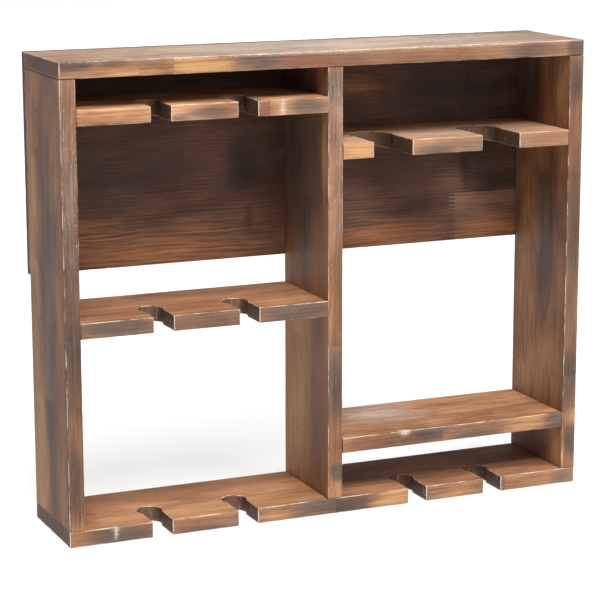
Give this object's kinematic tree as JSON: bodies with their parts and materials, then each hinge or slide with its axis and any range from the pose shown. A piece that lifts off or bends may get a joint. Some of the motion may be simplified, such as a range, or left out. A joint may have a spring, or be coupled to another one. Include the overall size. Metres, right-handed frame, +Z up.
{
  "type": "wall glass and bottle rack",
  "caption": "Shallow wooden wall case: divided bays, shelves with open-fronted slots for hanging stemmed glasses, a bottle shelf under wide neck slots, and a half-height back panel.",
  "frame": {"origin": "centre of the footprint at the base: midway between the outer sides, and midway between the case's front edge and the panel's back, at the lower face of the base board", "axes": "+Z up, the open front faces -Y, the panel and the wall side face +Y, +X to the right as seen from the front"},
  "size_m": [0.53, 0.1124, 0.444],
  "materials": {
    "stained_pine": "reddish brown stain with scorched grey patches, satin, edges rubbed pale",
    "dark_stained_pine": "blotchy dark brown stain, satin",
    "steel_nail": "bright steel dulled by the stain, heads punched below the surface",
    "zinc_plated_steel": "bright zinc plate"
  },
  "bodies": {
    "root": {"base_board": "stained_pine", "bottle_shelf": "stained_pine", "divider": "stained_pine", "hanger_plate_left": "zinc_plated_steel", "hanger_plate_right": "zinc_plated_steel", "hanger_screw_left_bottom": "zinc_plated_steel", "hanger_screw_left_top": "zinc_plated_steel", "hanger_screw_right_bottom": "zinc_plated_steel", "hanger_screw_right_top": "zinc_plated_steel", "left_middle_shelf": "stained_pine", "left_side": "stained_pine", "left_upper_shelf": "stained_pine", "nail_bottle_shelf_left_front": "steel_nail", "nail_bottle_shelf_left_low_front": "steel_nail", "nail_bottle_shelf_left_low_rear": "steel_nail", "nail_bottle_shelf_left_rear": "steel_nail", "nail_bottle_shelf_right_front": "steel_nail", "nail_bottle_shelf_right_rear": "steel_nail", "nail_divider_foot_front": "steel_nail", "nail_divider_foot_rear": "steel_nail", "nail_divider_head_front": "steel_nail", "nail_divider_head_rear": "steel_nail", "nail_left_middle_shelf_left_front": "steel_nail", "nail_left_middle_shelf_left_rear": "steel_nail", "nail_left_middle_shelf_right_front": "steel_nail", "nail_left_middle_shelf_right_rear": "steel_nail", "nail_left_side_foot_front": "steel_nail", "nail_left_side_foot_rear": "steel_nail", "nail_left_side_head_front": "steel_nail", "nail_left_side_head_rear": "steel_nail", "nail_left_upper_shelf_left_front": "steel_nail", "nail_left_upper_shelf_left_rear": "steel_nail", "nail_left_upper_shelf_right_front": "steel_nail", "nail_left_upper_shelf_right_rear": "steel_nail", "nail_neck_shelf_left_front": "steel_nail", "nail_neck_shelf_left_rear": "steel_nail", "nail_neck_shelf_right_front": "steel_nail", "nail_neck_shelf_right_rear": "steel_nail", "nail_right_side_foot_front": "steel_nail", "nail_right_side_foot_rear": "steel_nail", "nail_right_side_head_front": "steel_nail", "nail_right_side_head_rear": "steel_nail", "neck_shelf": "stained_pine", "panel_lower_left": "dark_stained_pine", "panel_lower_right": "dark_stained_pine", "panel_screw_01": "zinc_plated_steel", "panel_screw_02": "zinc_plated_steel", "panel_screw_03": "zinc_plated_steel", "panel_screw_04": "zinc_plated_steel", "panel_screw_05": "zinc_plated_steel", "panel_screw_06": "zinc_plated_steel", "panel_screw_07": "zinc_plated_steel", "panel_screw_08": "zinc_plated_steel", "panel_screw_09": "zinc_plated_steel", "panel_screw_10": "zinc_plated_steel", "panel_upper_left": "dark_stained_pine", "panel_upper_right": "dark_stained_pine", "right_side": "stained_pine", "top_board": "stained_pine"}
  },
  "joints": []
}
